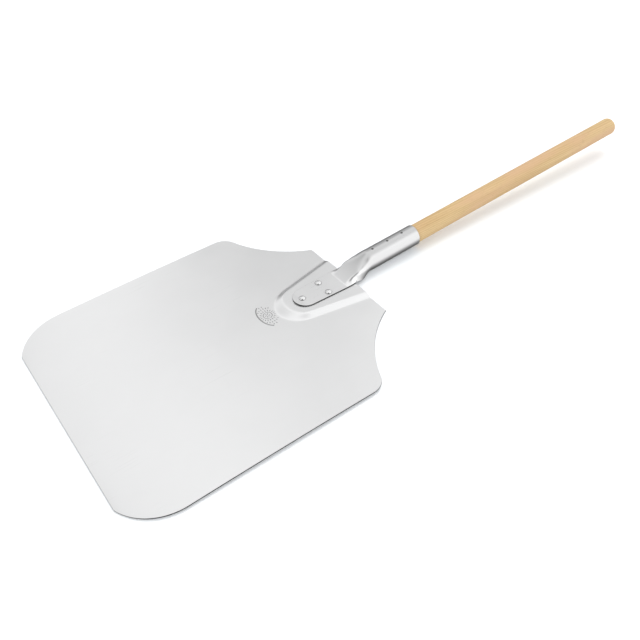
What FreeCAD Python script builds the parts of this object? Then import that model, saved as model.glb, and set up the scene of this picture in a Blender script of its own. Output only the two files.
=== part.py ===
"""Pizza peel: a pressed aluminium blade, a rolled aluminium socket riveted to it, and a wooden handle.

Millimetres.  +Z is up, +Y runs from the blade to the end of the handle.  The origin is on the plane
that the blade lies on, below the middle of the blade.
"""
import FreeCAD, Part
import math
import os

from FreeCAD import Vector

# blade
BLADE_WIDTH = 355.6            # 14 in
BLADE_LENGTH = 394.0           # 15 1/2 in, front edge to neck edge
BLADE_SHEET = 1.6
FRONT_CORNER_RADIUS = 66.0
FRONT_CORNER_RUN = 62.0        # the sides are straight from this far behind the front edge
REAR_CORNER_RADIUS = 23.0
REAR_CORNER_SETBACK = 98.0     # the sides end this far ahead of the neck edge
WAIST_RADIUS = 162.0           # hollow curve from each rear corner to the neck edge
NECK_WIDTH = 160.0

# raised bed, pressed up under the socket
BED_RISE = 4.0
BED_TIP_RADIUS = 30.0          # at mid slope
BED_TIP_SETBACK = 72.0         # from the neck edge to the centre of the tip's curve
BED_FLARE = 11.4               # degrees that each side spreads towards the neck edge
BED_SLOPE_WIDTH = 9.0

# socket sheet
SOCKET_SHEET = 1.4
TONGUE_LENGTH = 83.0           # ahead of the neck edge
TONGUE_TIP_WIDTH = 35.0
TONGUE_WIDTH = 38.8
RAMP_START = -14.0             # measured from the neck edge, + towards the handle
TUBE_START = 38.0
TUBE_END = 114.0
TUBE_BORE = 25.7

# handle
DOWEL_DIAMETER = 25.4          # 1 in
OVERALL_LENGTH = 914.4         # 36 in
HANDLE_TILT = 2.4              # degrees that the handle rises from the blade's plane
TUBE_FLOOR_GAP = 0.15          # under the tube where it starts
DOWEL_SETBACK = 30.0           # from the neck edge to the dowel's hidden end
DOWEL_SEAT_DIAMETER = 25.0     # turned down where it sits in the socket
DOWEL_SEAT_END = 116.0         # the shoulder, measured from the neck edge
DOWEL_LEAD = 12.0              # length of the cone on the hidden end
DOWEL_LEAD_DIAMETER = 16.0
DOWEL_END_ROUND = 6.0

# fasteners
RIVET_HEAD_DIAMETER = 9.5
RIVET_HEAD_HEIGHT = 2.3
RIVET_SHANK_DIAMETER = 4.8
RIVET_TAIL_DIAMETER = 7.5
RIVET_TAIL_HEIGHT = 1.3
FRONT_RIVET_SETBACK = 71.0
REAR_RIVET_SETBACK = 38.0
REAR_RIVET_SPACING = 22.6
NAIL_SETBACK = 44.0            # from the neck edge to the first nail
NAIL_PITCH = 25.0
NAIL_HEAD_DIAMETER = 3.2
NAIL_HEAD_HEIGHT = 0.7
NAIL_SHANK_DIAMETER = 1.8
NAIL_LENGTH = 14.0

NECK_Y = BLADE_LENGTH / 2
FRONT_Y = -BLADE_LENGTH / 2
BED_TOP = BED_RISE + BLADE_SHEET
TONGUE_TOP = BED_TOP + SOCKET_SHEET
TUBE_RADIUS = TUBE_BORE / 2 + SOCKET_SHEET
TUBE_MIDDLE_RADIUS = TUBE_RADIUS - SOCKET_SHEET / 2
TILT = math.radians(HANDLE_TILT)


def axis_height(y):
    """Height of the handle's axis at a place along Y."""
    start = TUBE_RADIUS + TUBE_FLOOR_GAP
    return start + (y - NECK_Y - TUBE_START) * math.tan(TILT)


def line(a, b):
    return Part.LineSegment(a, b).toShape()


def arc(centre, radius, start, end, z=0.0):
    """Arc about a vertical axis between two angles in radians."""
    points = []
    for angle in (start, (start + end) / 2, end):
        points.append(Vector(centre[0] + radius * math.cos(angle), centre[1] + radius * math.sin(angle), z))
    return Part.Arc(*points).toShape()


def disc(x, y, z, radius, height):
    return Part.makeCylinder(radius, height, Vector(x, y, z))


def mirrored(edges):
    """The same edges on the -X side, in reverse order."""
    flip = FreeCAD.Matrix(-1, 0, 0, 0, 0, 1, 0, 0, 0, 0, 1, 0, 0, 0, 0, 1)
    return [edge.transformGeometry(flip) for edge in reversed(edges)]


def waist_centre(corner):
    """Centre of the hollow curve that touches the rear corner's curve and ends at the neck corner."""
    neck = (NECK_WIDTH / 2, NECK_Y)
    gap = math.hypot(neck[0] - corner[0], neck[1] - corner[1])
    reach = WAIST_RADIUS + REAR_CORNER_RADIUS
    along = (reach ** 2 - WAIST_RADIUS ** 2 + gap ** 2) / (2 * gap)
    across = math.sqrt(reach ** 2 - along ** 2)
    ux, uy = (neck[0] - corner[0]) / gap, (neck[1] - corner[1]) / gap
    return (corner[0] + ux * along + uy * across, corner[1] + uy * along - ux * across)


def blade_outline():
    half = BLADE_WIDTH / 2
    front = (half - FRONT_CORNER_RADIUS, FRONT_Y + FRONT_CORNER_RUN)
    front_angle = -math.asin(FRONT_CORNER_RUN / FRONT_CORNER_RADIUS)
    rear = (half - REAR_CORNER_RADIUS, NECK_Y - REAR_CORNER_SETBACK)
    waist = waist_centre(rear)
    touch = math.atan2(waist[1] - rear[1], waist[0] - rear[0])
    neck_angle = math.atan2(NECK_Y - waist[1], NECK_WIDTH / 2 - waist[0])
    right = [
        arc(front, FRONT_CORNER_RADIUS, front_angle, 0.0),
        line(Vector(half, front[1], 0), Vector(half, rear[1], 0)),
        arc(rear, REAR_CORNER_RADIUS, 0.0, touch),
        arc(waist, WAIST_RADIUS, touch - math.pi, neck_angle),
    ]
    front_x = front[0] + FRONT_CORNER_RADIUS * math.cos(front_angle)
    neck_edge = line(Vector(NECK_WIDTH / 2, NECK_Y, 0), Vector(-NECK_WIDTH / 2, NECK_Y, 0))
    front_edge = line(Vector(-front_x, FRONT_Y, 0), Vector(front_x, FRONT_Y, 0))
    return Part.Wire(Part.__sortEdges__(right + [neck_edge] + mirrored(right) + [front_edge]))


def bed_outline(offset, z):
    """Tongue-shaped outline of the raised bed, running out past the neck edge."""
    flare = math.radians(BED_FLARE)
    radius = BED_TIP_RADIUS + offset
    centre = (0.0, NECK_Y - BED_TIP_SETBACK)
    end_y = NECK_Y + BED_SLOPE_WIDTH
    start_x = radius * math.cos(flare)
    start_y = centre[1] - radius * math.sin(flare)
    end_x = start_x + (end_y - start_y) * math.tan(flare)
    tip = arc(centre, radius, -math.pi + flare, -flare, z)
    right = line(Vector(start_x, start_y, z), Vector(end_x, end_y, z))
    back = line(Vector(end_x, end_y, z), Vector(-end_x, end_y, z))
    left = line(Vector(-end_x, end_y, z), Vector(-start_x, start_y, z))
    return Part.Wire([tip, right, back, left])


def bed_solid(base):
    """Solid with sloping sides whose foot is at the given height."""
    foot = bed_outline(BED_SLOPE_WIDTH / 2, base)
    top = bed_outline(-BED_SLOPE_WIDTH / 2, base + BED_RISE)
    return Part.makeLoft([foot, top], True, True)


def rivet_places():
    rear_y = NECK_Y - REAR_RIVET_SETBACK
    return {
        "blade_rivet_front": (0.0, NECK_Y - FRONT_RIVET_SETBACK),
        "blade_rivet_left": (-REAR_RIVET_SPACING / 2, rear_y),
        "blade_rivet_right": (REAR_RIVET_SPACING / 2, rear_y),
    }


def rivet_hole(x, y):
    return disc(x, y, 0, RIVET_SHANK_DIAMETER / 2, 2 * TONGUE_TOP)


def make_blade():
    plate = Part.Face(blade_outline()).extrude(Vector(0, 0, BLADE_SHEET))
    blade = plate.fuse(bed_solid(BLADE_SHEET)).cut(bed_solid(0.0))
    ahead = Part.makeBox(BLADE_WIDTH, BLADE_LENGTH, 2 * BED_TOP, Vector(-BLADE_WIDTH / 2, FRONT_Y, 0))
    blade = blade.common(ahead)
    for x, y in rivet_places().values():
        blade = blade.cut(rivet_hole(x, y))
    return blade.removeSplitter()


def socket_station(distance, top, runs):
    """Section of the socket sheet across Y, as a closed wire.

    distance is from the neck edge and top is the height of the sheet's upper face on the centre line.
    runs are three (length, turn in degrees) stretches of the sheet's middle line, from the centre to
    the free edge.
    """
    x, z, heading = 0.0, top - SOCKET_SHEET / 2, 0.0
    path = [(x, z, heading)]
    for length, degrees in runs:
        turn = math.radians(degrees)
        for share in (0.5, 0.5):
            step, bend = length * share, turn * share
            chord = step if bend == 0 else 2 * step / bend * math.sin(bend / 2)
            x += chord * math.cos(heading + bend / 2)
            z -= chord * math.sin(heading + bend / 2)
            heading += bend
            path.append((x, z, heading))
    y = NECK_Y + distance
    half = SOCKET_SHEET / 2
    sides = {}
    for face in (half, -half):
        sides[face] = [Vector(px + face * math.sin(h), y, pz + face * math.cos(h)) for px, pz, h in path]

    def run_edges(points, sign):
        edges = []
        for index, (length, degrees) in enumerate(runs):
            a, m, b = [Vector(sign * p.x, p.y, p.z) for p in points[2 * index:2 * index + 3]]
            edges.append(line(a, b) if degrees == 0 else Part.Arc(a, m, b).toShape())
        return edges

    edges = []
    for sign in (1, -1):
        end_out, end_in = sides[half][-1], sides[-half][-1]
        edges += run_edges(sides[half], sign) + run_edges(sides[-half], sign)
        edges.append(line(Vector(sign * end_out.x, y, end_out.z), Vector(sign * end_in.x, y, end_in.z)))
    return Part.Wire(Part.__sortEdges__(edges))


def tube_station(distance):
    """Round section with a narrow seam left open underneath."""
    radius = TUBE_MIDDLE_RADIUS
    turns = (50.0, 60.0, 63.0)
    runs = [(radius * math.radians(turn), turn) for turn in turns]
    return socket_station(distance, axis_height(NECK_Y + distance) + TUBE_RADIUS, runs)


def ramp_top(distance):
    """The top of the socket rises in a straight ramp from the tongue to the tube."""
    tube_top = axis_height(NECK_Y + TUBE_START) + TUBE_RADIUS
    share = (distance - RAMP_START) / (TUBE_START - RAMP_START)
    return TONGUE_TOP + share * (tube_top - TONGUE_TOP)


def make_tongue():
    """Flat front of the socket, with a round tip."""
    radius = TONGUE_TIP_WIDTH / 2
    centre_y = NECK_Y - TONGUE_LENGTH + radius
    back_y = NECK_Y + RAMP_START
    half = TONGUE_WIDTH / 2
    tip = arc((0.0, centre_y), radius, -math.pi, 0.0, BED_TOP)
    right = line(Vector(radius, centre_y, BED_TOP), Vector(half, back_y, BED_TOP))
    back = line(Vector(half, back_y, BED_TOP), Vector(-half, back_y, BED_TOP))
    left = line(Vector(-half, back_y, BED_TOP), Vector(-radius, centre_y, BED_TOP))
    tongue = Part.Face(Part.Wire([tip, right, back, left])).extrude(Vector(0, 0, SOCKET_SHEET))
    for x, y in rivet_places().values():
        tongue = tongue.cut(rivet_hole(x, y))
    return tongue


def make_socket():
    half = TONGUE_WIDTH / 2
    stations = [
        socket_station(RAMP_START, TONGUE_TOP, [(6.0, 0), (3.0, 0), (half - 9.0, 0)]),
        socket_station(0.0, ramp_top(0.0), [(8.6, 0), (1.6, 28), (10.6, 0)]),
        socket_station(6.0, ramp_top(6.0), [(11.4, 0), (4.4, 83), (10.6, 0)]),
        socket_station(16.0, ramp_top(16.0), [(10.0, 12), (8.0, 74), (11.4, 12)]),
        socket_station(27.0, ramp_top(27.0), [(10.8, 32), (10.2, 66), (12.0, 45)]),
        tube_station(TUBE_START),
        tube_station(TUBE_END),
    ]
    rolled = Part.makeLoft(stations, True, True)
    socket = make_tongue().fuse(rolled)
    for number in range(3):
        socket = socket.cut(nail_solid(number, NAIL_SHANK_DIAMETER, 0.0))
    return socket.removeSplitter()


def along_axis(shape, y):
    """Move a shape modelled along +Y at the origin onto the handle's axis."""
    shape.rotate(Vector(0, 0, 0), Vector(1, 0, 0), HANDLE_TILT)
    shape.translate(Vector(0, y, axis_height(y)))
    return shape


def make_handle():
    """Round dowel with a cone and a seat on its hidden end and a rounded free end."""
    radius = DOWEL_DIAMETER / 2
    seat_radius = DOWEL_SEAT_DIAMETER / 2
    start_y = NECK_Y + DOWEL_SETBACK
    end_y = FRONT_Y + OVERALL_LENGTH
    length = (end_y - start_y) / math.cos(TILT) - radius * math.tan(TILT)
    shoulder = DOWEL_SEAT_END - DOWEL_SETBACK
    lead = Part.makeCone(DOWEL_LEAD_DIAMETER / 2, seat_radius, DOWEL_LEAD, Vector(0, 0, 0), Vector(0, 1, 0))
    seat = Part.makeCylinder(seat_radius, shoulder - DOWEL_LEAD, Vector(0, DOWEL_LEAD, 0), Vector(0, 1, 0))
    shank = Part.makeCylinder(radius, length - shoulder, Vector(0, shoulder, 0), Vector(0, 1, 0))
    end_rim = [edge for edge in shank.Edges if edge.BoundBox.YMin > length - 0.01]
    shank = shank.makeFillet(DOWEL_END_ROUND, end_rim)
    handle = along_axis(lead.fuse(seat).fuse(shank).removeSplitter(), start_y)
    for number in range(3):
        handle = handle.cut(nail_solid(number, NAIL_SHANK_DIAMETER, 0.0))
    return handle


def make_rivet(x, y):
    """Domed head on the tongue, shank through both sheets, flat tail under the raised bed."""
    head_radius = RIVET_HEAD_DIAMETER / 2
    ball = (head_radius ** 2 + RIVET_HEAD_HEIGHT ** 2) / (2 * RIVET_HEAD_HEIGHT)
    sphere = Part.makeSphere(ball, Vector(x, y, TONGUE_TOP + RIVET_HEAD_HEIGHT - ball))
    head = sphere.common(disc(x, y, TONGUE_TOP, head_radius + 1, RIVET_HEAD_HEIGHT + 1))
    shank = disc(x, y, BED_RISE, RIVET_SHANK_DIAMETER / 2, TONGUE_TOP - BED_RISE)
    tail = disc(x, y, BED_RISE - RIVET_TAIL_HEIGHT, RIVET_TAIL_DIAMETER / 2, RIVET_TAIL_HEIGHT)
    return head.fuse(shank).fuse(tail).removeSplitter()


def nail_solid(number, shank_diameter, head_diameter):
    """A nail driven down through the top of the tube, square to the handle."""
    nail = Part.makeCylinder(shank_diameter / 2, NAIL_LENGTH, Vector(0, 0, TUBE_RADIUS - NAIL_LENGTH))
    if head_diameter:
        head_radius = head_diameter / 2
        ball = (head_radius ** 2 + NAIL_HEAD_HEIGHT ** 2) / (2 * NAIL_HEAD_HEIGHT)
        centre = TUBE_RADIUS + NAIL_HEAD_HEIGHT - ball
        head = Part.makeSphere(ball, Vector(0, 0, centre))
        head = head.common(disc(0, 0, TUBE_RADIUS, head_radius + 1, NAIL_HEAD_HEIGHT + 1))
        nail = nail.fuse(head).removeSplitter()
    return along_axis(nail, NECK_Y + NAIL_SETBACK + number * NAIL_PITCH)


def main():
    os.makedirs("parts", exist_ok=True)
    shapes = {"blade": make_blade(), "socket": make_socket(), "handle": make_handle()}
    for name, (x, y) in rivet_places().items():
        shapes[name] = make_rivet(x, y)
    for number, place in enumerate(("front", "middle", "rear")):
        shapes["handle_nail_" + place] = nail_solid(number, NAIL_SHANK_DIAMETER, NAIL_HEAD_DIAMETER)
    for name, shape in shapes.items():
        shape.exportStep("parts/" + name + ".step")
        box = shape.BoundBox
        print(name, shape.isValid(), len(shape.Solids), round(shape.Volume, 1),
              [round(v, 2) for v in (box.XMin, box.XMax, box.YMin, box.YMax, box.ZMin, box.ZMax)])


main()
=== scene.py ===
"""Pizza peel: aluminium blade, rolled socket, rivets, nails and wooden handle, built around the frame.

Metres.  +Z is up, +Y runs from the blade to the free end of the handle, and the blade lies on Z = 0.
A sheet-metal piece is laid out flat first, as (across, along), and then pressed or rolled into shape.
"""

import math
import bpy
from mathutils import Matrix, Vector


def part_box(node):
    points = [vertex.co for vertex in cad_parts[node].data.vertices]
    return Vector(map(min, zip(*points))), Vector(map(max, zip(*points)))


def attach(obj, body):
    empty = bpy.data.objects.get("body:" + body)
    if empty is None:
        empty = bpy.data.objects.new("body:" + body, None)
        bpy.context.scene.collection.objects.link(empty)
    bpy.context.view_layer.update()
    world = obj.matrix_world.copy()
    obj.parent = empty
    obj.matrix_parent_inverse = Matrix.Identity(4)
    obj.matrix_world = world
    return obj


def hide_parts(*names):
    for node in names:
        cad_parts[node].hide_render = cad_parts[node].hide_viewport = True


bl_info = {
    "name": "Pizza Peel",
    "version": (1, 0, 0),
    "blender": (4, 5, 0),
    "location": "View3D > Sidebar > Pizza Peel",
    "description": "Builds an aluminium pizza peel with a wooden handle",
    "category": "Add Mesh",
}

import bmesh
import bpy
from bpy.props import FloatProperty, FloatVectorProperty, PointerProperty
from mathutils import Matrix, Vector
from mathutils.geometry import delaunay_2d_cdt
from mathutils.kdtree import KDTree

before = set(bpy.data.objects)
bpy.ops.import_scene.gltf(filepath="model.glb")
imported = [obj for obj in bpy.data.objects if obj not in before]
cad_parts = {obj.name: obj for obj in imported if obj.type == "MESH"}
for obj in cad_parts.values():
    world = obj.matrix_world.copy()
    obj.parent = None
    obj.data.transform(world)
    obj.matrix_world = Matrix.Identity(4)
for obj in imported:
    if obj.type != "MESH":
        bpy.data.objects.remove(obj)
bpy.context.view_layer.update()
BODY = "root"
MM = 0.001

# blade outline
BLADE_LOW, BLADE_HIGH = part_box("blade")
HALF_WIDTH = BLADE_HIGH.x
NECK_Y = BLADE_HIGH.y
FRONT_Y = BLADE_LOW.y
FRONT_CORNER_RADIUS = 66 * MM
FRONT_CORNER_RUN = 62 * MM
REAR_CORNER_RADIUS = 23 * MM
REAR_CORNER_SETBACK = 98 * MM
WAIST_RADIUS = 162 * MM
NECK_HALF_WIDTH = 80 * MM

# raised bed
BED_TIP_RADIUS = 30 * MM
BED_TIP_Y = NECK_Y - 72 * MM
BED_FLARE = math.radians(11.4)
BED_SLOPE = 9 * MM
BED_FRONT_SPREAD = 0.9         # how much wider the slope is at the very front
BED_RISE = 4 * MM
BED_LINE_STOP = 2 * MM         # gap from the bed's mesh lines to the neck edge
# the mesh's lines along the slope: -0.5 is its top and 0.5 its foot
BED_LINES = (-0.62, -0.5, -0.42, -0.34, -0.25, 0.0, 0.25, 0.34, 0.42, 0.5, 0.62)
BED_TIP_STEPS = 40

# stamped badge, a sliced round with rows of rays about it
MARK_CENTRE = (-6.5 * MM, 76.8 * MM)
MARK_SCALE = 1.15 * MM         # length of one unit in the badge's drawing
MARK_WALL = 0.12 * MM          # width of the sloping side of a stamped line
ROUND_RADIUS = 5.4
ROUND_STROKE = 0.9 * MM
ROUND_STEPS = 28
SLICES = 6
SLICE_PLACE, SLICE_LENGTH, SLICE_WIDTH = 2.3, 3.0, 0.9
BAR_OVAL = (19.0, 11.0)
BAR_BAND = 1.5
BAR_START, BAR_END = 196, 344  # degrees
RAY_REACH = 7.9
RAY_ROWS = ((18, 1.0, 3.0), (26, 1.52, 2.6), (30, 1.98, 2.4))    # how many, share of the reach, length
RAY_WIDTH = 1.0
RAY_OVAL = (16.6, 9.3)         # rays outside this oval are left out
LEAF_STEPS = 12

# socket, measured from the neck edge
TONGUE_TIP = -83 * MM
TONGUE_TIP_RADIUS = 17.5 * MM
TONGUE_HALF_WIDTH = 19.4 * MM
RAMP_START = -14 * MM
RAMP_FOOT = 0.015              # share of the ramp that is rounded at its foot
RAMP_HEAD = 0.18               # share that is rounded where it meets the tube
TIP_LIFT_REACH = 9 * MM        # the tongue's tip stands clear of the bed over this length
TUBE_START = 38 * MM
TUBE_END = 114 * MM
TUBE_BORE = 25.7 * MM
TUBE_FLOOR_GAP = 0.15 * MM

# handle
TILT = math.radians(2.4)
DOWEL_START = 30 * MM
DOWEL_SEAT_END = 116 * MM
DOWEL_LEAD = 12 * MM           # cone on the hidden end
DOWEL_NOSE = 8 * MM            # radius at the front of the cone

# fasteners
RIVETS = {"front": (0.0, -71 * MM), "left": (-11.3 * MM, -38 * MM), "right": (11.3 * MM, -38 * MM)}
NAILS = {"front": 44 * MM, "middle": 69 * MM, "rear": 94 * MM}
RIVET_SHANK = 2.4 * MM
RIVET_TAIL = 3.75 * MM
RIVET_TAIL_LOW, RIVET_TAIL_HIGH = 2.7 * MM, 4.0 * MM
NAIL_SHANK = 0.9 * MM
NAIL_POINT = 2.2 * MM          # length of the tapered point
NAIL_REACH = 14 * MM           # from the top of the tube to the nail's point

# laying out the meshes
GRID = 6 * MM                  # gap between the blade's loose points
CLEARANCE = 2.4 * MM           # least gap from a loose point to a line
SOCKET_GRID = (1.2 * MM, 2 * MM)
SOCKET_CLEARANCE = 0.9 * MM
CREASE_GAP = 0.5 * MM          # between the lines across the foot of the ramp
CDT_SCALE = 1000.0             # sheets are triangulated in millimetres
CDT_TOLERANCE = 1e-4
SHARP_ANGLE = math.radians(40)     # edges that turn more than this stay hard
EDGE_STEPS = 4                 # faces on each rounding of a cut edge
HOLD = 0.25 * MM               # ring beside the rounding that keeps the sheet flat
MITRE_LIMIT = 0.3              # keeps the mitre of a sharp corner short

# stage
FLOOR_REACH = 15.0
FLOOR_DROP = 0.2 * MM          # below the blade, so that the two don't share a plane
KEY_FROM = (-0.344, 0.551, 0.762)
KEY_SPREAD = math.radians(38)
SENSOR_WIDTH = 36.0


# ---- settings


class BladeSettings(bpy.types.PropertyGroup):
    sheet: FloatProperty(
        name="Sheet", description="Thickness of the blade", default=1.6 * MM, unit="LENGTH")
    edge_round: FloatProperty(
        name="Edge Round", description="Radius on the cut edges", default=0.25 * MM, unit="LENGTH")
    bow: FloatProperty(
        name="Bow", description="How far the sides lift from the floor", default=3.4 * MM, unit="LENGTH")
    mark_depth: FloatProperty(
        name="Mark Depth", description="Depth of the stamped mark", default=0.16 * MM, unit="LENGTH")


class SocketSettings(bpy.types.PropertyGroup):
    sheet: FloatProperty(
        name="Sheet", description="Thickness of the socket", default=1.4 * MM, unit="LENGTH")
    edge_round: FloatProperty(
        name="Edge Round", description="Radius on the cut edges", default=0.3 * MM, unit="LENGTH")
    tip_lift: FloatProperty(
        name="Tip Lift", description="Gap left under the tip of the tongue", default=0.8 * MM, unit="LENGTH")


class HandleSettings(bpy.types.PropertyGroup):
    diameter: FloatProperty(
        name="Diameter", description="Diameter of the dowel", default=25.4 * MM, unit="LENGTH")
    seat_diameter: FloatProperty(
        name="Seat Diameter", description="Diameter inside the socket", default=25.0 * MM, unit="LENGTH")
    end_round: FloatProperty(
        name="End Round", description="Radius on the free end", default=6.0 * MM, unit="LENGTH")


class FastenerSettings(bpy.types.PropertyGroup):
    rivet_diameter: FloatProperty(
        name="Rivet Head", description="Diameter of a rivet's head", default=9.5 * MM, unit="LENGTH")
    rivet_height: FloatProperty(
        name="Rivet Height", description="Height of a rivet's head", default=2.3 * MM, unit="LENGTH")
    nail_diameter: FloatProperty(
        name="Nail Head", description="Diameter of a nail's head", default=3.2 * MM, unit="LENGTH")
    nail_height: FloatProperty(
        name="Nail Height", description="Height of a nail's head", default=0.7 * MM, unit="LENGTH")


class FinishSettings(bpy.types.PropertyGroup):
    aluminium: FloatVectorProperty(
        name="Aluminium", description="Colour of the sheet metal", subtype="COLOR", size=3,
        default=(0.81, 0.813, 0.816), min=0, max=1)
    # cut edges' colour: mostly painted shade (the contact shadow and dark reflection under the edges) over
    # their real duller sheared look
    cut_edge_shade: FloatVectorProperty(
        name="Cut Edge", description="Colour of the sheared edges", subtype="COLOR", size=3,
        default=(0.03, 0.03, 0.031), min=0, max=1)
    steel: FloatVectorProperty(
        name="Steel", description="Colour of the nails", subtype="COLOR", size=3,
        default=(0.10, 0.10, 0.10), min=0, max=1)
    wood: FloatVectorProperty(
        name="Wood", description="Colour of the pale wood between the rings", subtype="COLOR", size=3,
        default=(0.632, 0.46, 0.236), min=0, max=1)
    wood_ring: FloatVectorProperty(
        name="Wood Ring", description="Colour of the darker growth rings", subtype="COLOR", size=3,
        default=(0.47, 0.302, 0.134), min=0, max=1)
    wood_flush: FloatVectorProperty(
        name="Wood Flush", description="Colour of the rosy patches in the wood", subtype="COLOR", size=3,
        default=(0.585, 0.375, 0.217), min=0, max=1)


class StageSettings(bpy.types.PropertyGroup):
    camera_place: FloatVectorProperty(
        name="Camera", description="Where the camera stands", subtype="XYZ", unit="LENGTH", size=3,
        default=(0.59862, -0.23734, 0.62254))
    camera_heading: FloatProperty(
        name="Heading", description="Turn of the view from +Y towards +X", subtype="ANGLE",
        default=math.radians(-57.093))
    camera_pitch: FloatProperty(
        name="Pitch", description="How steeply the view looks down", subtype="ANGLE",
        default=math.radians(43.135))
    camera_roll: FloatProperty(
        name="Roll", description="Turn of the picture about the view", subtype="ANGLE",
        default=math.radians(-4.441))
    lens: FloatProperty(name="Lens", description="Focal length", default=41.223, unit="CAMERA")
    floor: FloatVectorProperty(
        name="Floor", description="Colour of the floor", subtype="COLOR", size=3,
        default=(0.885, 0.90, 0.915), min=0, max=1)
    key: FloatProperty(
        name="Key", description="Strength of the soft key light", default=1.25)


class PeelSettings(bpy.types.PropertyGroup):
    blade: PointerProperty(type=BladeSettings, name="Blade", description="Sizes of the blade")
    socket: PointerProperty(type=SocketSettings, name="Socket", description="Sizes of the socket")
    handle: PointerProperty(type=HandleSettings, name="Handle", description="Sizes of the handle")
    fasteners: PointerProperty(
        type=FastenerSettings, name="Fasteners", description="Sizes of the rivets and nails")
    finish: PointerProperty(type=FinishSettings, name="Finish", description="Colours of the materials")
    stage: PointerProperty(type=StageSettings, name="Stage", description="Camera, floor and light")


def peel_settings():
    return bpy.context.scene.pizza_peel


# ---- shader maths


class Field:
    """A socket whose value differs from place to place; arithmetic on it adds Math nodes."""

    def __init__(self, nodes, socket):
        self.nodes = nodes
        self.socket = socket

    def _math(self, operation, *values):
        return self.nodes.add("ShaderNodeMath", {"operation": operation}, dict(enumerate(values)))

    def __add__(self, other):
        return self._math("ADD", self, other)

    __radd__ = __add__

    def __sub__(self, other):
        return self._math("SUBTRACT", self, other)

    def __rsub__(self, other):
        return self._math("SUBTRACT", other, self)

    def __mul__(self, other):
        return self._math("MULTIPLY", self, other)

    __rmul__ = __mul__

    def __truediv__(self, other):
        return self._math("DIVIDE", self, other)

    def __rtruediv__(self, other):
        return self._math("DIVIDE", other, self)

    def __pow__(self, other):
        return self._math("POWER", self, other)

    def __rpow__(self, other):
        return self._math("POWER", other, self)

    def sine(self):
        return self._math("SINE", self)

    def smooth(self, low, high):
        """0 below low, 1 above high, and a soft step between them."""
        return self.nodes.add(
            "ShaderNodeMapRange", {"interpolation_type": "SMOOTHSTEP"},
            {"Value": self, "From Min": low, "From Max": high})


class Nodes:
    """Adds nodes to one tree.  A Mix node has sockets that share a name, so it uses their numbers."""

    MIX_SHARE, MIX_LOW, MIX_HIGH, MIX_RESULT = 0, 6, 7, 2

    def __init__(self, tree):
        self.tree = tree
        tree.nodes.clear()

    def add(self, kind, settings=None, inputs=None, output=0):
        """A node with its settings, and then its inputs; the result is one of its outputs."""
        node = self.tree.nodes.new(kind)
        for name, value in (settings or {}).items():
            setattr(node, name, value)
        for name, value in (inputs or {}).items():
            if isinstance(value, Field):
                self.tree.links.new(value.socket, node.inputs[name])
            else:
                node.inputs[name].default_value = value
        return Field(self, node.outputs[output]) if node.outputs else node

    def place(self):
        return self.add("ShaderNodeTexCoord", output="Object")

    def axes(self, vector):
        node = self.add("ShaderNodeSeparateXYZ", inputs={0: vector}).socket.node
        return [Field(self, socket) for socket in node.outputs]

    def stretch(self, vector, scales):
        return self.add("ShaderNodeVectorMath", {"operation": "MULTIPLY"}, {0: vector, 1: scales})

    def noise(self, vector, scale=1.0, detail=2.0, roughness=0.5):
        inputs = {"Vector": vector, "Scale": scale, "Detail": detail, "Roughness": roughness}
        return self.add("ShaderNodeTexNoise", None, inputs)

    def mix(self, share, low, high):
        """Colour between low and high."""
        inputs = {self.MIX_SHARE: share, self.MIX_LOW: low, self.MIX_HIGH: high}
        return self.add("ShaderNodeMix", {"data_type": "RGBA"}, inputs, self.MIX_RESULT)

    def mask(self, name):
        return self.add("ShaderNodeAttribute", {"attribute_name": name}, output="Fac")

    def bump(self, height, distance):
        return self.add("ShaderNodeBump", None, {"Height": height, "Distance": distance, "Strength": 1.0})

    def surface(self, inputs):
        shader = self.add("ShaderNodeBsdfPrincipled", None, inputs)
        self.add("ShaderNodeOutputMaterial", None, {"Surface": shader})


def new_material(name):
    material = bpy.data.materials.new(name)
    material.use_nodes = True
    return material, Nodes(material.node_tree)


def opaque(colour, factor=1.0):
    """Colour with full alpha, made darker or lighter by the factor."""
    return [channel * factor for channel in colour] + [1.0]


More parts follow.
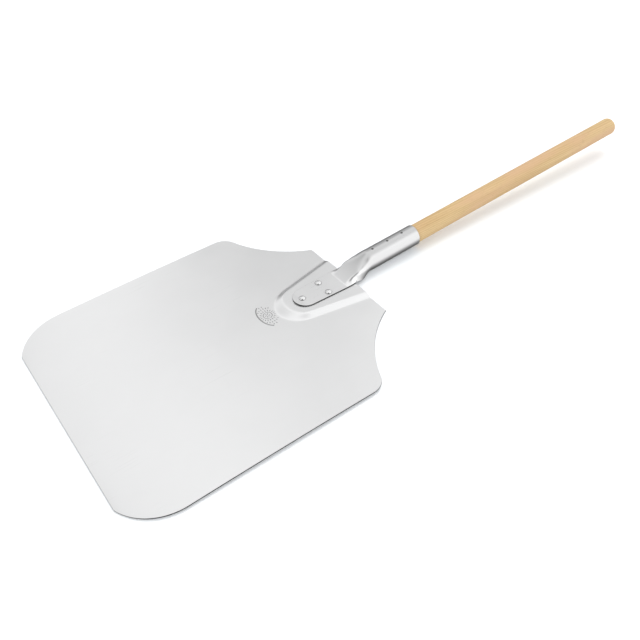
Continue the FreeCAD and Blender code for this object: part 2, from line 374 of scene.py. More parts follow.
def aluminium_sheet(name, finish, roughness, grain, painted_shade_from=None, painted_shade_to=None):
    """Satin rolled sheet: hairlines along the rolling direction, faint clouding and a few scratches, with
    painted shade on the cut edges and partly in the stamped mark.

    grain is how often the hairlines repeat in a metre along each axis.  The colour grows darker between the
    two places given last, measured along it: painted shade standing in for a darker reflection on the tube.
    """
    material, nodes = new_material(name)
    place = nodes.place()
    hairlines = nodes.noise(nodes.stretch(place, grain), detail=3.0, roughness=0.6)
    satin = nodes.noise(place, scale=900.0)
    clouds = nodes.noise(place, scale=14.0, detail=3.0, roughness=0.55)
    scratch_bed = nodes.noise(nodes.stretch(place, (900.0, 22.0, 900.0)), detail=0.0)
    scratches = scratch_bed.smooth(0.76, 0.80) * clouds.smooth(0.45, 0.6)
    # painted shade on the cut edges: mostly painted contact shadow and dark reflection, partly the sheared
    # edge's real duller look
    cut = nodes.mask("cut_edge_shade")
    mark = nodes.mask("mark")
    bright, dull = opaque(finish.aluminium), opaque(finish.aluminium, 0.69)
    clean = nodes.mix(clouds.smooth(0.35, 0.65), opaque(finish.aluminium, 0.985), bright)
    # painted shade: the socket's colour darkens along it, standing in for a darker reflection on the tube
    shaded_along = clean
    if painted_shade_from is not None:
        _, along, _ = nodes.axes(place)
        shaded_along = nodes.mix(along.smooth(painted_shade_from, painted_shade_to), clean, dull)
    worn = nodes.mix(scratches * 0.14, shaded_along, opaque(finish.aluminium, 0.72))
    # the stamped mark is coloured much darker, partly painted shade in its shallow recess
    stamped = nodes.mix(mark * 0.9, worn, opaque(finish.aluminium, 0.34))
    # the cut edges take a near-black colour, mostly painted shade
    colour = nodes.mix(cut, stamped, opaque(finish.cut_edge_shade))
    rough = roughness + (clouds - 0.5) * 0.08 + (hairlines - 0.5) * 0.06 + cut * 0.2 + mark * 0.12
    relief = hairlines * 0.7 + satin * 0.3 - scratches * 0.4
    nodes.surface({
        "Base Color": colour, "Metallic": 1.0, "Roughness": rough,
        "Normal": nodes.bump(relief, 0.012 * MM)})
    return material


def rivet_metal(name, finish):
    """Bright aluminium with fine setting rings and a rim darkened by painted shade where the head meets the
    sheet.
    """
    material, nodes = new_material(name)
    place = nodes.place()
    rim = nodes.mask("rim")
    clouds = nodes.noise(place, scale=320.0)
    # painted shade: the head's rim darkens where it meets the sheet
    colour = nodes.mix(rim * 0.8, opaque(finish.aluminium, 0.92), opaque(finish.aluminium, 0.15))
    rough = 0.12 + clouds * 0.06 + rim * 0.25
    relief = nodes.noise(place, scale=1400.0)
    nodes.surface({
        "Base Color": colour, "Metallic": 1.0, "Roughness": rough,
        "Normal": nodes.bump(relief, 0.006 * MM)})
    return material


def nail_metal(name, finish):
    """Dark drawn steel with a little bright wear on the crown."""
    material, nodes = new_material(name)
    place = nodes.place()
    specks = nodes.noise(place, scale=1500.0, detail=3.0, roughness=0.6)
    wear = specks.smooth(0.45, 0.7) * (1 - nodes.mask("rim"))
    colour = nodes.mix(wear, opaque(finish.steel), opaque(finish.steel, 2.2))
    nodes.surface({
        "Base Color": colour, "Metallic": 1.0, "Roughness": 0.3 + specks * 0.2,
        "Normal": nodes.bump(specks, 0.01 * MM)})
    return material


def handle_wood(name, finish):
    """Pale straight-grained hardwood with soft growth rings, fibres and short pores."""
    material, nodes = new_material(name)
    place = nodes.place()

    def along_grain(across, along, **noise):
        """Noise that repeats this often in a metre across the handle and along it."""
        return nodes.noise(nodes.stretch(place, (across, along, across)), **noise)

    x, _, z = nodes.axes(place)
    pith_x, pith_z = 34 * MM, -18 * MM
    ring_gap, ring_sway = 2.6 * MM, 9 * MM
    sway = along_grain(9.0, 2.2)
    square = (x - pith_x) * (x - pith_x) + (z - pith_z) * (z - pith_z)
    ring_count = (square ** 0.5 + (sway - 0.5) * ring_sway) / ring_gap
    rings = (ring_count * math.tau).sine() * 0.5 + 0.5
    fibres = along_grain(1500.0, 26.0, detail=3.0, roughness=0.6)
    streaks = along_grain(160.0, 5.0, roughness=0.55)
    patches = along_grain(30.0, 7.0)
    pores = along_grain(2600.0, 110.0, detail=1.0).smooth(0.66, 0.74)
    tone = rings * 0.45 + (streaks - 0.5) * 1.3 + (fibres - 0.5) * 0.5
    grained = nodes.mix(tone.smooth(-0.35, 0.95), opaque(finish.wood), opaque(finish.wood_ring))
    rosy = nodes.mix(patches.smooth(0.42, 0.62) * 0.75, grained, opaque(finish.wood_flush))
    colour = nodes.mix(pores * 0.45, rosy, opaque(finish.wood_ring, 0.6))
    relief = fibres * 0.6 - pores * 0.8 + rings * 0.25
    nodes.surface({
        "Base Color": colour, "Roughness": 0.5 + (fibres - 0.5) * 0.25 + pores * 0.1,
        "Specular IOR Level": 0.35, "Normal": nodes.bump(relief, 0.05 * MM)})
    return material


# ---- sheet layout


def arc(centre, radius, start, end, chord=2 * MM):
    count = max(3, math.ceil(abs(end - start) * radius / chord))
    angles = [start + (end - start) * i / count for i in range(count + 1)]
    return [Vector((centre[0] + radius * math.cos(a), centre[1] + radius * math.sin(a))) for a in angles]


def run(a, b, step):
    """Points from a to b, both included."""
    a, b = Vector(a), Vector(b)
    count = max(1, round((b - a).length / step))
    return [a.lerp(b, i / count) for i in range(count + 1)]


def joined(*stretches):
    """One line from stretches that each start where the last one ends."""
    points = list(stretches[0])
    for stretch in stretches[1:]:
        points += stretch[1:]
    return points


def mirrored(points):
    """The same line on the other side of the middle, in the opposite order."""
    return [Vector((-p.x, p.y)) for p in reversed(points)]


def inset(loop, distance):
    """A closed anticlockwise loop moved inwards, with mitred corners."""
    moved = []
    for before, point, after in zip(loop[-1:] + loop[:-1], loop, loop[1:] + loop[:1]):
        a, b = (point - before).normalized(), (after - point).normalized()
        inward = Vector((-a.y - b.y, a.x + b.x)).normalized()
        mitre = max(MITRE_LIMIT, inward.dot(Vector((-b.y, b.x))))
        moved.append(point + inward * (distance / mitre))
    return moved


def grid_spots(loop, blocked, step_across, step_along, clearance):
    """Evenly spaced points inside a closed loop, clear of every blocked point."""
    tree = KDTree(len(blocked))
    for index, point in enumerate(blocked):
        tree.insert((point.x, point.y, 0.0), index)
    tree.balance()
    low, high = min(p.y for p in loop), max(p.y for p in loop)
    spots = []
    for row in range(1, int((high - low) / step_along) + 1):
        y = low + row * step_along
        crossings = []
        for a, b in zip(loop, loop[1:] + loop[:1]):
            if (a.y > y) != (b.y > y):
                crossings.append(a.x + (b.x - a.x) * (y - a.y) / (b.y - a.y))
        crossings.sort()
        for left, right in zip(crossings[::2], crossings[1::2]):
            shift = step_across / 2 if row % 2 else 0.0
            column = math.ceil((left - shift) / step_across)
            while column * step_across + shift < right:
                spot = Vector((column * step_across + shift, y))
                if tree.find((spot.x, spot.y, 0.0))[2] > clearance:
                    spots.append(spot)
                column += 1
    return spots


def rim_profile(thickness, edge_round):
    """(inset, height, how much of the cut edge's painted shade shows) down the rounded rim of a sheet."""
    half = thickness / 2
    upper = [(edge_round + HOLD, half, 0.0)]
    for step in range(EDGE_STEPS + 1):
        share = step / EDGE_STEPS
        angle = math.pi / 2 * (1 - share)
        upper.append((
            edge_round * (1 - math.cos(angle)), half - edge_round * (1 - math.sin(angle)), math.sqrt(share)))
    return upper + [(inward, -height, shown) for inward, height, shown in reversed(upper)]


def make_sheet(name, outline, lines, spots, thickness, edge_round, place, edge_shade, depth=0.0):
    """A sheet with rounded cut edges, from its flat layout.

    outline is closed and anticlockwise.  lines are (points, closed, stamped) that the mesh follows,
    spots are loose points, and place turns (across, along, height in the sheet) into a point.
    edge_shade says how much painted shade the cut edge takes at (across, along), and depth is how deep
    stamps go.
    """
    profile = rim_profile(thickness, edge_round)
    loops = [inset(outline, inward) for inward, _, _ in profile]
    mesh = bmesh.new()
    # this layer holds how much painted shade each rim point of the cut edge takes
    cut = mesh.verts.layers.float.new("cut_edge_shade")
    mark = mesh.verts.layers.float.new("mark")
    rows = []
    for (_, height, shown), loop in zip(profile, loops):
        row = []
        for point in loop:
            vert = mesh.verts.new(place(point.x, point.y, height))
            vert[cut] = shown * edge_shade(point.x, point.y)
            row.append(vert)
        rows.append(row)
    count = len(outline)
    for upper, lower in zip(rows, rows[1:]):
        for i in range(count):
            j = (i + 1) % count
            mesh.faces.new((upper[i], lower[i], lower[j], upper[j]))

    verts, faces, sources, sunk = laid_out(loops[0], lines, spots)
    tops, bottoms = [], []
    for vert, source in zip(verts, sources):
        rim = [i for i in source if i < count]
        if rim:
            tops.append(rows[0][rim[0]])
            bottoms.append(rows[-1][rim[0]])
            continue
        x, y = vert / CDT_SCALE
        low = any(i in sunk for i in source)
        top = mesh.verts.new(place(x, y, thickness / 2 - (depth if low else 0.0)))
        top[mark] = 1.0 if low else 0.0
        tops.append(top)
        bottoms.append(mesh.verts.new(place(x, y, -thickness / 2)))
    for face in faces:
        a, b, c = (verts[i] for i in face)
        order = face if (b - a).cross(c - a) > 0 else face[::-1]
        mesh.faces.new([tops[i] for i in order])
        mesh.faces.new([bottoms[i] for i in reversed(order)])
    return finish_mesh(name, mesh)


def laid_out(rim, lines, spots):
    """Triangles inside the rim that follow the lines and take in the loose spots.

    Gives the corners, the triangles, the given points that each corner stands for, and which
    of the given points are stamped.  The rim's points come first.
    """
    points, edges, sunk = list(rim), [], set()
    for line, closed, stamped in lines:
        first = len(points)
        points += line
        edges += [(first + i, first + i + 1) for i in range(len(line) - 1)]
        if closed:
            edges.append((len(points) - 1, first))
        if stamped:
            sunk.update(range(first, len(points)))
    points += spots
    inside_only = 1
    laid = delaunay_2d_cdt(
        [p * CDT_SCALE for p in points], edges, [list(range(len(rim)))], inside_only, CDT_TOLERANCE)
    return laid[0], laid[2], laid[3], sunk


def finish_mesh(name, mesh):
    """Smooth-shaded object from a bmesh, with its hard corners kept sharp."""
    mesh.normal_update()
    for face in mesh.faces:
        face.smooth = True
    for edge in mesh.edges:
        edge.smooth = edge.calc_face_angle(0.0) < SHARP_ANGLE
    data = bpy.data.meshes.new(name)
    mesh.to_mesh(data)
    mesh.free()
    piece = bpy.data.objects.new(name, data)
    bpy.context.scene.collection.objects.link(piece)
    return piece


def lathe(name, profile, matrix, sides, shades=None):
    """A closed turned piece.

    profile is (radius, height) from one end to the other, and both ends lie on the axis.
    matrix places it, and shades are how much of the rim mask each profile point takes; on a rivet the rim
    mask is painted shade.
    """
    mesh = bmesh.new()
    rim = mesh.verts.layers.float.new("rim")
    rows = []
    for index, (radius, height) in enumerate(profile):
        ring = []
        for side in range(1 if radius == 0 else sides):
            turn = math.tau * side / sides
            spot = Vector((radius * math.cos(turn), radius * math.sin(turn), height))
            vert = mesh.verts.new(matrix @ spot)
            vert[rim] = shades[index] if shades else 0.0
            ring.append(vert)
        rows.append(ring)
    for lower, upper in zip(rows, rows[1:]):
        for side in range(sides):
            after = (side + 1) % sides
            if len(lower) == 1:
                mesh.faces.new((lower[0], upper[after], upper[side]))
            elif len(upper) == 1:
                mesh.faces.new((lower[side], lower[after], upper[0]))
            else:
                mesh.faces.new((lower[side], lower[after], upper[after], upper[side]))
    return finish_mesh(name, mesh)


def hand_over(piece, node, material):
    """Gives a finished piece its material, its body and the place of the CAD node that it replaces."""
    piece.data.materials.append(material)
    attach(piece, BODY)
    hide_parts(node)


# ---- blade


def blade_outline():
    """The blade's edge, anticlockwise from the front corner on the right."""
    front = (HALF_WIDTH - FRONT_CORNER_RADIUS, FRONT_Y + FRONT_CORNER_RUN)
    front_angle = -math.asin(FRONT_CORNER_RUN / FRONT_CORNER_RADIUS)
    rear = (HALF_WIDTH - REAR_CORNER_RADIUS, NECK_Y - REAR_CORNER_SETBACK)
    waist = waist_centre(rear)
    touch = math.atan2(waist[1] - rear[1], waist[0] - rear[0])
    neck_angle = math.atan2(NECK_Y - waist[1], NECK_HALF_WIDTH - waist[0])
    right = joined(
        arc(front, FRONT_CORNER_RADIUS, front_angle, 0.0),
        run((HALF_WIDTH, front[1]), (HALF_WIDTH, rear[1]), GRID),
        arc(rear, REAR_CORNER_RADIUS, 0.0, touch, 1.2 * MM),
        arc(waist, WAIST_RADIUS, touch + math.pi, neck_angle + math.tau, 3 * MM),
    )
    neck = run((NECK_HALF_WIDTH, NECK_Y), (-NECK_HALF_WIDTH, NECK_Y), 1 * MM)
    left = mirrored(right)
    loop = joined(right, neck, left, run(left[-1], right[0], GRID))
    return loop[:-1]


def waist_centre(corner):
    """Centre of the hollow curve that touches the rear corner's curve and ends at the neck corner."""
    gap_x, gap_y = NECK_HALF_WIDTH - corner[0], NECK_Y - corner[1]
    gap = math.hypot(gap_x, gap_y)
    reach = WAIST_RADIUS + REAR_CORNER_RADIUS
    along = (reach ** 2 - WAIST_RADIUS ** 2 + gap ** 2) / (2 * gap)
    across = math.sqrt(reach ** 2 - along ** 2)
    ux, uy = gap_x / gap, gap_y / gap
    return (corner[0] + ux * along + uy * across, corner[1] + uy * along - ux * across)


def slope_width(front_share):
    """Width of the bed's slope; front_share is 1 at the very front and 0 where the straight sides start."""
    return BED_SLOPE * (1 + BED_FRONT_SPREAD * front_share ** 2)


def front_share(sine):
    """From 1 where the bed's tip faces the front to 0 where it meets the straight sides."""
    least = math.sin(BED_FLARE)
    return max(0.0, (sine - least) / (1 - least))


def bed_line(share):
    """A line along the slope from neck edge to neck edge; share is -0.5 at its top and 0.5 at its foot."""
    end_y = NECK_Y - BED_LINE_STOP
    tip = []
    for step in range(BED_TIP_STEPS + 1):
        angle = -math.pi + BED_FLARE + (math.pi - 2 * BED_FLARE) * step / BED_TIP_STEPS
        radius = BED_TIP_RADIUS + share * slope_width(front_share(-math.sin(angle)))
        tip.append(Vector((radius * math.cos(angle), BED_TIP_Y + radius * math.sin(angle))))
    start = tip[-1]
    side = run(start, (start.x + (end_y - start.y) * math.tan(BED_FLARE), end_y), 3 * MM)
    return joined(mirrored(side), tip, side)


def soft_ramp(share, foot=0.22, head=0.22):
    """From 0 to 1 in a straight slope with a rounded foot and head."""
    share = min(1.0, max(0.0, share))
    slope = 1 / (1 - foot / 2 - head / 2)
    if share < foot:
        return slope * share * share / (2 * foot)
    if share > 1 - head:
        return 1 - slope * (1 - share) ** 2 / (2 * head)
    return slope * (share - foot / 2)


def bed_height(x, y):
    """How far the sheet is pressed up at a place on the blade."""
    x = abs(x)
    start_x = BED_TIP_RADIUS * math.cos(BED_FLARE)
    start_y = BED_TIP_Y - BED_TIP_RADIUS * math.sin(BED_FLARE)
    along = (x - start_x) * math.sin(BED_FLARE) + (y - start_y) * math.cos(BED_FLARE)
    if along > 0:
        offset = (x - start_x) * math.cos(BED_FLARE) - (y - start_y) * math.sin(BED_FLARE)
        width = BED_SLOPE
    else:
        reach = math.hypot(x, y - BED_TIP_Y)
        offset = reach - BED_TIP_RADIUS
        width = slope_width(front_share((BED_TIP_Y - y) / reach if reach else 0.0))
    return BED_RISE * soft_ramp(0.5 - offset / width)


def blade_bow(x, y):
    """Share of the bow, from 0 on the middle line to 1 at the middle of each side."""
    across = min(1.0, abs(x) / HALF_WIDTH)
    along = (y - FRONT_Y) / (NECK_Y - FRONT_Y)
    return across ** 2.6 * math.sin(math.pi * min(1.0, max(0.0, along))) ** 0.6


def mark_lines():
    """Closed lines of the stamped badge as (points, closed, stamped)."""
    lines = []

    def stamp(drawing, stroke=None):
        """Sink the inside of a closed line, or only a stroke of this width along it."""
        x, y = MARK_CENTRE
        loop = [Vector((x + p[0] * MARK_SCALE, y + p[1] * MARK_SCALE)) for p in drawing]
        lines.append((loop, True, False))
        lines.append((inset(loop, MARK_WALL), True, True))
        if stroke:
            lines.append((inset(loop, stroke - MARK_WALL), True, True))
            lines.append((inset(loop, stroke), True, False))

    def leaf(reach, length, width, turn):
        """A slim oval that points away from the badge's middle."""
        c, s = math.cos(turn), math.sin(turn)
        x, y = reach * c, reach * s
        points = []
        for step in range(LEAF_STEPS):
            angle = math.tau * step / LEAF_STEPS
            a, b = math.cos(angle) * length / 2, math.sin(angle) * width / 2
            points.append((x + a * c - b * s, y + a * s + b * c))
        stamp(points)

    def bar():
        """Part of an oval band along the front of the badge."""
        wide, high = BAR_OVAL
        steps = 24
        turns = [math.radians(BAR_START + (BAR_END - BAR_START) * step / steps) for step in range(steps + 1)]
        outer = [(wide * math.cos(t), high * math.sin(t)) for t in turns]
        inner = [((wide - BAR_BAND) * math.cos(t), (high - BAR_BAND) * math.sin(t)) for t in reversed(turns)]
        stamp(outer + inner)

    ring = [math.tau * step / ROUND_STEPS for step in range(ROUND_STEPS)]
    stamp([(ROUND_RADIUS * math.cos(turn), ROUND_RADIUS * math.sin(turn)) for turn in ring], ROUND_STROKE)
    for step in range(SLICES):
        leaf(SLICE_PLACE, SLICE_LENGTH, SLICE_WIDTH, math.tau * (step + 0.5) / SLICES)
    bar()
    for rays, share, length in RAY_ROWS:
        for step in range(rays):
            turn = math.tau * (step + 0.5) / rays
            x, y = share * RAY_REACH * math.cos(turn), share * RAY_REACH * math.sin(turn)
            if (x / RAY_OVAL[0]) ** 2 + (y / RAY_OVAL[1]) ** 2 < 1:
                leaf(share * RAY_REACH, length, RAY_WIDTH, turn)
    return lines


def blade_edge_shade(x, y):
    """Painted shade on the cut edges: full on the sides, and lighter towards the front edge."""
    front_fade_reach, front_fade_share = 24 * MM, 0.55
    return 1 - front_fade_share * max(0.0, 1 - (y - FRONT_Y) / front_fade_reach)


class PEEL_OT_blade(bpy.types.Operator):
    """Press the blade from sheet, with its raised bed and stamped mark"""

    bl_idname = "peel.blade"
    bl_label = "Blade"

    def execute(self, context):
        settings = context.scene.pizza_peel.blade
        outline = blade_outline()
        lines = [(bed_line(share), False, False) for share in BED_LINES]
        lines += mark_lines()
        blocked = [p for line, _, _ in lines for p in line] + outline
        spots = grid_spots(outline, blocked, GRID, GRID, CLEARANCE)
        middle = settings.sheet / 2

        def place(x, y, height):
            return (x, y, middle + bed_height(x, y) + settings.bow * blade_bow(x, y) + height)

        blade = make_sheet(
            "peel_blade", outline, lines, spots, settings.sheet, settings.edge_round, place,
            blade_edge_shade, settings.mark_depth)
        metal = aluminium_sheet(
            "satin_blade", context.scene.pizza_peel.finish, 0.30, (2600.0, 16.0, 2600.0))
        hand_over(blade, "blade", metal)
        return {"FINISHED"}


# ---- socket


def axis_height(distance):
    """Height of the handle's axis at a distance from the neck edge."""
    start = TUBE_BORE / 2 + peel_settings().socket.sheet + TUBE_FLOOR_GAP
    return start + (distance - TUBE_START) * math.tan(TILT)


def socket_stations():
    """How the sheet is bent at some distances from the neck edge.

    Each has three stretches from the middle to the free edge, as (length, degrees that it turns
    down).  The flat top comes first, then the fold, and then the side.
    """
    radius = TUBE_BORE / 2 + peel_settings().socket.sheet / 2
    tube = [(radius * math.radians(turn), turn) for turn in (50.0, 60.0, 63.0)]
    return [
        (RAMP_START, [(10.4 * MM, 0), (2.6 * MM, 0), (6.4 * MM, 0)]),
        (0.0, [(11.6 * MM, 0), (2.2 * MM, 46), (7.0 * MM, 0)]),
        (6 * MM, [(12.2 * MM, 0), (4.4 * MM, 82), (8.6 * MM, 0)]),
        (16 * MM, [(10.4 * MM, 10), (8.0 * MM, 76), (10.4 * MM, 12)]),
        (27 * MM, [(10.8 * MM, 32), (10.2 * MM, 66), (12.0 * MM, 45)]),
        (TUBE_START, tube),
        (TUBE_END, tube),
    ]


def eased(places, values, at):
    """Smooth curve through the values that never overshoots them."""
    at = min(places[-1], max(places[0], at))
    index = next(i for i in range(len(places) - 1) if at <= places[i + 1])
    steps = [(b - a) / (q - p) for a, b, p, q in zip(values, values[1:], places, places[1:])]

    def slope(i):
        if i == 0 or i == len(steps) or steps[i - 1] * steps[i] <= 0:
            return 0.0
        return 2 * steps[i - 1] * steps[i] / (steps[i - 1] + steps[i])

    width = places[index + 1] - places[index]
    t = (at - places[index]) / width
    a, b = values[index], values[index + 1]
    return ((1 + 2 * t) * (1 - t) ** 2 * a + t * (1 - t) ** 2 * width * slope(index)
            + t * t * (3 - 2 * t) * b + t * t * (t - 1) * width * slope(index + 1))


class SocketShape:
    """Turns a place on the flat sheet of the socket into a point on the rolled socket."""

    def __init__(self, settings):
        self.sheet = settings.sheet
        self.tip_lift = settings.tip_lift
        stations = socket_stations()
        self.places = [distance for distance, _ in stations]
        self.columns = [[runs[i][j] for _, runs in stations] for i in range(3) for j in range(2)]
        self.tongue_top = BED_RISE + peel_settings().blade.sheet + self.sheet

    def runs(self, distance):
        """The three stretches at a distance; ahead of the neck edge the sides stay down on the bed."""
        values = [eased(self.places, column, distance) for column in self.columns]
        runs = list(zip(values[0::2], values[1::2]))
        if distance < 0:
            fold, flange = runs[1][0], runs[2][0]
            drop = self.top(distance) - self.tongue_top
            runs[1] = (fold, math.degrees(math.asin(drop / (flange + fold / 2))))
        return runs

    def half_length(self, distance):
        """From the middle of the flat sheet to its free edge."""
        return sum(length for length, _ in self.runs(distance))

    def top(self, distance):
        """Height of the socket's upper face along its middle."""
        tube_radius = TUBE_BORE / 2 + self.sheet
        if distance >= TUBE_START:
            return axis_height(distance) + tube_radius
        if distance <= RAMP_START:
            return self.tongue_top
        share = soft_ramp((distance - RAMP_START) / (TUBE_START - RAMP_START), RAMP_FOOT, RAMP_HEAD)
        return self.tongue_top + share * (axis_height(TUBE_START) + tube_radius - self.tongue_top)

    def place(self, across, distance, height):
        """Walk out from the middle along the bent stretches, and then off the sheet by the height."""
        left = abs(across)
        x, z, heading = 0.0, self.top(distance) - self.sheet / 2, 0.0
        runs = self.runs(distance)
        for index, (length, degrees) in enumerate(runs):
            step = left if index == len(runs) - 1 else min(left, length)
            bend = math.radians(degrees) * step / length
            chord = step if abs(bend) < 1e-9 else 2 * step / bend * math.sin(bend / 2)
            x += chord * math.cos(heading + bend / 2)
            z -= chord * math.sin(heading + bend / 2)
            heading += bend
            left -= step
            if left <= 0:
                break
        x += height * math.sin(heading)
        z += height * math.cos(heading)
        near_tip = max(0.0, 1 - (distance - TONGUE_TIP) / TIP_LIFT_REACH)
        z += self.tip_lift * near_tip ** 1.5
        return (math.copysign(x, across), NECK_Y + distance, z)


def socket_outline(shape):
    """Edge of the flat sheet, anticlockwise from the tongue's tip."""
    centre = (0.0, TONGUE_TIP + TONGUE_TIP_RADIUS)
    tip = arc(centre, TONGUE_TIP_RADIUS, -math.pi / 2, 0.0, SOCKET_GRID[0])
    tongue = run(tip[-1], (TONGUE_HALF_WIDTH, RAMP_START), 3 * MM)
    distances = [RAMP_START + i * 2 * MM for i in range(27)]             # up the ramp
    distances += [TUBE_START + i * 4 * MM for i in range(1, 20)]         # along the tube
    rolled = [Vector((shape.half_length(d), d)) for d in distances]
    right = joined(tip, tongue, rolled)
    end = run(right[-1], (-right[-1].x, TUBE_END), SOCKET_GRID[0])
    return joined(right, end, mirrored(right))[:-1]


def socket_edge_shade(across, distance):
    """Painted shade on the cut edges: full on the tongue's edges, and fading out on the folded ones behind
    the neck edge.
    """
    fade = 20 * MM
    return 1.0 if distance < 0 else max(0.0, 1 - distance / fade)


class PEEL_OT_socket(bpy.types.Operator):
    """Roll the socket from sheet, with its flat tongue and its open seam underneath"""

    bl_idname = "peel.socket"
    bl_label = "Socket"

    def execute(self, context):
        settings = context.scene.pizza_peel.socket
        shape = SocketShape(settings)
        outline = socket_outline(shape)
        reach = TONGUE_HALF_WIDTH - SOCKET_GRID[0]
        creases = []
        for distance in (RAMP_START - CREASE_GAP, RAMP_START, RAMP_START + CREASE_GAP):
            creases.append((run((-reach, distance), (reach, distance), SOCKET_GRID[0]), False, False))
        blocked = outline + [point for line, _, _ in creases for point in line]
        spots = grid_spots(outline, blocked, *SOCKET_GRID, SOCKET_CLEARANCE)
        socket = make_sheet(
            "peel_socket", outline, creases, spots, settings.sheet, settings.edge_round, shape.place,
            socket_edge_shade)
        # the socket's colour darkens from here along the tube: painted shade for a darker reflection
        painted_shade_from = NECK_Y + RAMP_START
        metal = aluminium_sheet(
            "satin_socket", context.scene.pizza_peel.finish, 0.29, (1800.0, 40.0, 1800.0),
            painted_shade_from, painted_shade_from + 46 * MM)
        hand_over(socket, "socket", metal)
        return {"FINISHED"}


# ---- handle


def handle_matrix(distance):
    """From a turned piece's own axis to the handle's axis, starting at a distance from the neck edge."""
    turn = Matrix.Rotation(TILT - math.pi / 2, 4, "X")
    return Matrix.Translation((0.0, NECK_Y + distance, axis_height(distance))) @ turn


class PEEL_OT_handle(bpy.types.Operator):
    """Turn the wooden handle, with its seat in the socket and its rounded free end"""

    bl_idname = "peel.handle"
    bl_label = "Handle"

    def execute(self, context):
        settings = context.scene.pizza_peel.handle
        radius, seat, end_round = settings.diameter / 2, settings.seat_diameter / 2, settings.end_round
        _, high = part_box("handle")
        start_y = NECK_Y + DOWEL_START
        length = (high.y - start_y) / math.cos(TILT) - (radius - end_round) * math.tan(TILT)
        shoulder = DOWEL_SEAT_END - DOWEL_START
        straight_end = length - end_round
        seat_steps, straight_steps, round_steps = 12, 90, 10

        profile = [(0.0, 0.0), (7.4 * MM, 0.0), (DOWEL_NOSE, 0.5 * MM), (seat, DOWEL_LEAD)]
        for i in range(1, seat_steps + 1):
            profile.append((seat, DOWEL_LEAD + (shoulder - DOWEL_LEAD) * i / seat_steps))
        profile += [(radius - 0.03 * MM, shoulder + 0.05 * MM), (radius, shoulder + 0.3 * MM)]
        for i in range(1, straight_steps + 1):
            profile.append((radius, shoulder + (straight_end - shoulder) * i / straight_steps))
        for i in range(1, round_steps + 1):
            turn = math.pi / 2 * i / round_steps
            profile.append((
                radius - end_round * (1 - math.cos(turn)), straight_end + end_round * math.sin(turn)))
        profile += [(radius * share, length) for share in (0.35, 0.15, 0.0)]
        handle = lathe("peel_handle", profile, handle_matrix(DOWEL_START), 64)
        wood = handle_wood("pale_hardwood", context.scene.pizza_peel.finish)
        hand_over(handle, "handle", wood)
        return {"FINISHED"}


# ---- fasteners


def dome(radius, height, steps):
    """(radius, height) from the rim of a domed head to its crown, with a small upright rim."""
    lip = height * 0.12
    crown = height - lip
    ball = (radius ** 2 + crown ** 2) / (2 * crown)
    edge = math.asin(radius / ball)
    points = [(radius - 0.02 * MM, 0.0), (radius, 0.25 * lip)]
    for step in range(steps + 1):
        angle = edge * (1 - step / steps)
        points.append((ball * math.sin(angle), height - ball * (1 - math.cos(angle))))
    points[-1] = (0.0, height)
    return points


class PEEL_OT_rivets(bpy.types.Operator):
    """Set the three rivets that hold the socket to the blade"""

    bl_idname = "peel.rivets"
    bl_label = "Rivets"

    def execute(self, context):
        peel = context.scene.pizza_peel
        sizes = peel.fasteners
        base = BED_RISE + peel.blade.sheet + peel.socket.sheet
        metal = rivet_metal("bright_rivet", peel.finish)
        low, high = RIVET_TAIL_LOW, RIVET_TAIL_HIGH
        below = [
            (0.0, low), (RIVET_TAIL - 0.5 * MM, low), (RIVET_TAIL - 0.15 * MM, low + 0.15 * MM),
            (RIVET_TAIL, low + 0.5 * MM), (RIVET_TAIL, high - 0.15 * MM), (RIVET_TAIL - 0.1 * MM, high),
            (RIVET_SHANK, high), (RIVET_SHANK, base)]
        head = dome(sizes.rivet_diameter / 2, sizes.rivet_height, 14)
        profile = below + [(r, base + h) for r, h in head]
        # painted shade on the head's rim, where it meets the sheet
        rim_painted_shade = [1.0, 1.0, 1.0, 0.8, 0.35]
        shades = [0.6] * len(below) + rim_painted_shade + [0.0] * (len(head) - len(rim_painted_shade))
        for name, (x, distance) in RIVETS.items():
            matrix = Matrix.Translation((x, NECK_Y + distance, 0.0))
            rivet = lathe("peel_rivet_" + name, profile, matrix, 48, shades)
            hand_over(rivet, "blade_rivet_" + name, metal)
        return {"FINISHED"}


class PEEL_OT_nails(bpy.types.Operator):
    """Drive the three nails that hold the handle in the socket"""

    bl_idname = "peel.nails"
    bl_label = "Nails"

    def execute(self, context):
        peel = context.scene.pizza_peel
        sizes = peel.fasteners
        metal = nail_metal("dark_nail", peel.finish)
        tube_radius = TUBE_BORE / 2 + peel.socket.sheet
        point = tube_radius - NAIL_REACH
        below = [(0.0, point), (NAIL_SHANK, point + NAIL_POINT), (NAIL_SHANK, tube_radius)]
        head = dome(sizes.nail_diameter / 2, sizes.nail_height, 8)
        profile = below + [(r, tube_radius + h) for r, h in head]
        rim_count = 3
        shades = [1.0] * (len(below) + rim_count) + [0.0] * (len(head) - rim_count)
        for name, distance in NAILS.items():
            matrix = handle_matrix(distance) @ Matrix.Rotation(math.pi / 2, 4, "X")
            nail = lathe("peel_nail_" + name, profile, matrix, 32, shades)
            hand_over(nail, "handle_nail_" + name, metal)
        return {"FINISHED"}


# ---- stage


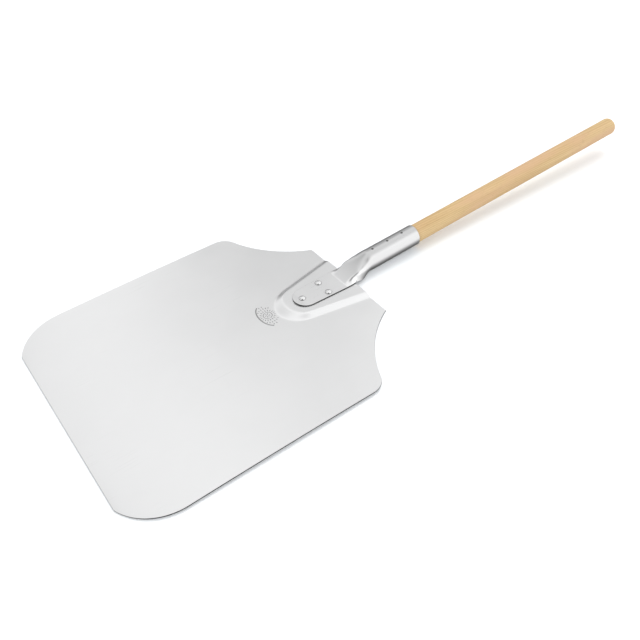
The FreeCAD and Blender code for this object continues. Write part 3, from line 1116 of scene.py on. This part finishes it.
def soft_tent():
    """World light: a white tent with grey panels on the far side and a dark opening on the near side."""
    world = bpy.data.worlds.new("soft_tent")
    bpy.context.scene.world = world
    world.use_nodes = True
    nodes = Nodes(world.node_tree)
    direction = nodes.add("ShaderNodeTexCoord", output="Generated")

    def towards(x, y, z):
        """1 where the light comes straight from (x, y, z), and -1 on the opposite side."""
        length = math.sqrt(x * x + y * y + z * z)
        unit = (x / length, y / length, z / length)
        return nodes.add(
            "ShaderNodeVectorMath", {"operation": "DOT_PRODUCT"}, {0: direction, 1: unit}, "Value")

    def patch(heading, height, outer, inner):
        """Soft round patch of the tent: 1 within inner degrees of its middle, and 0 beyond outer.

        heading turns from +Y towards +X, and height is above the floor.
        """
        heading, height = math.radians(heading), math.radians(height)
        middle = towards(
            math.sin(heading) * math.cos(height), math.cos(heading) * math.cos(height), math.sin(height))
        return middle.smooth(math.cos(math.radians(outer)), math.cos(math.radians(inner)))

    _, _, z = nodes.axes(direction)
    away = towards(-0.84, 0.54, 0.0).smooth(-0.2, 0.35)
    far_side = 0.66 + z.smooth(0.1, 0.48) * 0.48
    near_side = 1.0 + z.smooth(0.45, 0.9) * 0.15 + patch(58, 16, 52, 28) * 0.62
    tent = away * far_side + (1 - away) * near_side
    panels = (                         # heading, height, outer and inner degrees, darkness
        (-68, -4, 34, 18, 0.38),
        (-60, 34, 16, 4, 0.48),
        (-53, 41, 10, 2, 0.12),
        (-115, 45, 24, 8, 0.42),
        (-50, 50, 14, 3, -0.12),
    )
    greys = 0.0
    for heading, height, outer, inner, darkness in panels:
        greys += patch(heading, height, outer, inner) * darkness
    opening = patch(130, 61, 22, 12)
    below = (0.0 - z).smooth(0.4, 0.95)
    light = (tent - greys) * (1 - opening * 0.95) * (1 - below * 0.85)
    background = nodes.add(
        "ShaderNodeBackground", None, {"Color": (1.0, 1.0, 1.0, 1.0), "Strength": light})
    nodes.add("ShaderNodeOutputWorld", None, {"Surface": background})


def floor_paint(name, colour):
    """Matt white paint with a faint cool glow that lightens the shadows."""
    material, nodes = new_material(name)
    nodes.surface({
        "Base Color": opaque(colour), "Roughness": 0.9, "Specular IOR Level": 0.0,
        "Emission Color": (0.86, 0.95, 1.0, 1.0), "Emission Strength": 0.10})
    return material


def camera_matrix(settings):
    """The camera's place and turn, from its heading, pitch and roll."""
    heading, pitch, roll = settings.camera_heading, settings.camera_pitch, settings.camera_roll
    ahead = Vector((
        math.sin(heading) * math.cos(pitch), math.cos(heading) * math.cos(pitch), -math.sin(pitch)))
    right = ahead.cross(Vector((0, 0, 1))).normalized()
    up = right.cross(ahead)
    turned_right = right * math.cos(roll) + up * math.sin(roll)
    turned_up = up * math.cos(roll) - right * math.sin(roll)
    turn = Matrix((turned_right, turned_up, -ahead)).transposed().to_4x4()
    return Matrix.Translation(settings.camera_place) @ turn


class PEEL_OT_stage(bpy.types.Operator):
    """Set the floor, the soft light and the camera"""

    bl_idname = "peel.stage"
    bl_label = "Stage"

    def execute(self, context):
        settings = context.scene.pizza_peel.stage
        soft_tent()
        corners = [(-1, -1), (1, -1), (1, 1), (-1, 1)]
        floor = bpy.data.meshes.new("floor")
        floor.from_pydata(
            [(x * FLOOR_REACH, y * FLOOR_REACH, -FLOOR_DROP) for x, y in corners], [], [(0, 1, 2, 3)])
        floor.materials.append(floor_paint("pale_floor", settings.floor))
        ground = bpy.data.objects.new("floor", floor)
        context.scene.collection.objects.link(ground)
        ground.visible_glossy = False

        key_data = bpy.data.lights.new("key", "SUN")
        key_data.energy = settings.key
        key_data.angle = KEY_SPREAD
        key = bpy.data.objects.new("key", key_data)
        key.rotation_euler = Vector(KEY_FROM).to_track_quat("Z", "Y").to_euler()
        key.visible_glossy = False
        context.scene.collection.objects.link(key)

        camera_data = bpy.data.cameras.new("camera")
        camera_data.lens = settings.lens
        camera_data.sensor_width = SENSOR_WIDTH
        camera_data.clip_end = 100.0
        camera = bpy.data.objects.new("camera", camera_data)
        camera.matrix_world = camera_matrix(settings)
        context.scene.collection.objects.link(camera)
        context.scene.camera = camera
        context.scene.view_settings.view_transform = "Standard"
        return {"FINISHED"}


class PEEL_PT_panel(bpy.types.Panel):
    """Settings and steps of the pizza peel"""

    bl_label = "Pizza Peel"
    bl_idname = "PEEL_PT_panel"
    bl_space_type = "VIEW_3D"
    bl_region_type = "UI"
    bl_category = "Pizza Peel"

    def draw(self, context):
        peel = context.scene.pizza_peel
        for group in (peel.blade, peel.socket, peel.handle, peel.fasteners, peel.finish, peel.stage):
            box = self.layout.box()
            for name in group.bl_rna.properties.keys():
                if name not in ("rna_type", "name"):
                    box.prop(group, name)
        for step in STEPS:
            self.layout.operator(step.bl_idname)


STEPS = (PEEL_OT_blade, PEEL_OT_socket, PEEL_OT_handle, PEEL_OT_rivets, PEEL_OT_nails, PEEL_OT_stage)
CLASSES = (
    BladeSettings, SocketSettings, HandleSettings, FastenerSettings, FinishSettings, StageSettings,
    PeelSettings, *STEPS, PEEL_PT_panel)


def register():
    for kind in CLASSES:
        bpy.utils.register_class(kind)
    bpy.types.Scene.pizza_peel = PointerProperty(type=PeelSettings)


def unregister():
    del bpy.types.Scene.pizza_peel
    for kind in reversed(CLASSES):
        bpy.utils.unregister_class(kind)


def main():
    register()
    bpy.ops.peel.blade()
    bpy.ops.peel.socket()
    bpy.ops.peel.handle()
    bpy.ops.peel.rivets()
    bpy.ops.peel.nails()
    bpy.ops.peel.stage()


if __name__ == "__main__":
    main()
